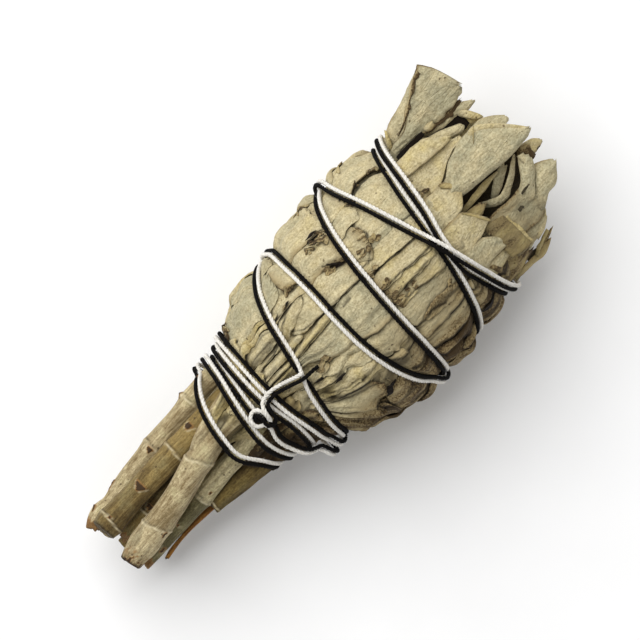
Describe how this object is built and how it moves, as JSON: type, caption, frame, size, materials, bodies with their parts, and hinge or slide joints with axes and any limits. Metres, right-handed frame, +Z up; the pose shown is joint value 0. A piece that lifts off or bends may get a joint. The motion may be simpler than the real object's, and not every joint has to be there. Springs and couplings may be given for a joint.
{
  "type": "herb smudge stick",
  "caption": "Dried sage sprigs pressed into a club and bound with a criss-crossing two-tone twine, with bare cut stems at one end",
  "frame": {"origin": "the middle of the bundle's footprint, on the surface that it lies on", "axes": "+X runs from the cut stems to the leaf tips, +Z is up"},
  "size_m": [0.1016, 0.0404, 0.0368],
  "materials": {
    "sage_leaf": "dry, velvety, pressed leaves",
    "sage_stem": "dry, dull stem",
    "dry_stalk": "dry, curled leaf stalk",
    "brown_bark": "dry bark",
    "black_cotton": "soft twisted cotton",
    "white_cotton": "soft twisted cotton"
  },
  "bodies": {
    "root": {"sprig_1_leaves": "sage_leaf", "sprig_2_leaves": "sage_leaf", "sprig_3_leaves": "sage_leaf", "sprig_4_leaves": "sage_leaf", "sprig_5_leaves": "sage_leaf", "sprig_6_leaves": "sage_leaf", "sprig_1_stem": "sage_stem", "sprig_2_stem": "sage_stem", "sprig_3_stem": "sage_stem", "sprig_4_stem": "sage_stem", "sprig_5_stem": "sage_stem", "sprig_6_stem": "sage_stem", "sprig_7_stem": "sage_stem", "dry_leaf_stalk": "dry_stalk", "bark_splinter": "brown_bark", "twine_black_strand": "black_cotton", "twine_white_strand": "white_cotton"}
  },
  "joints": []
}
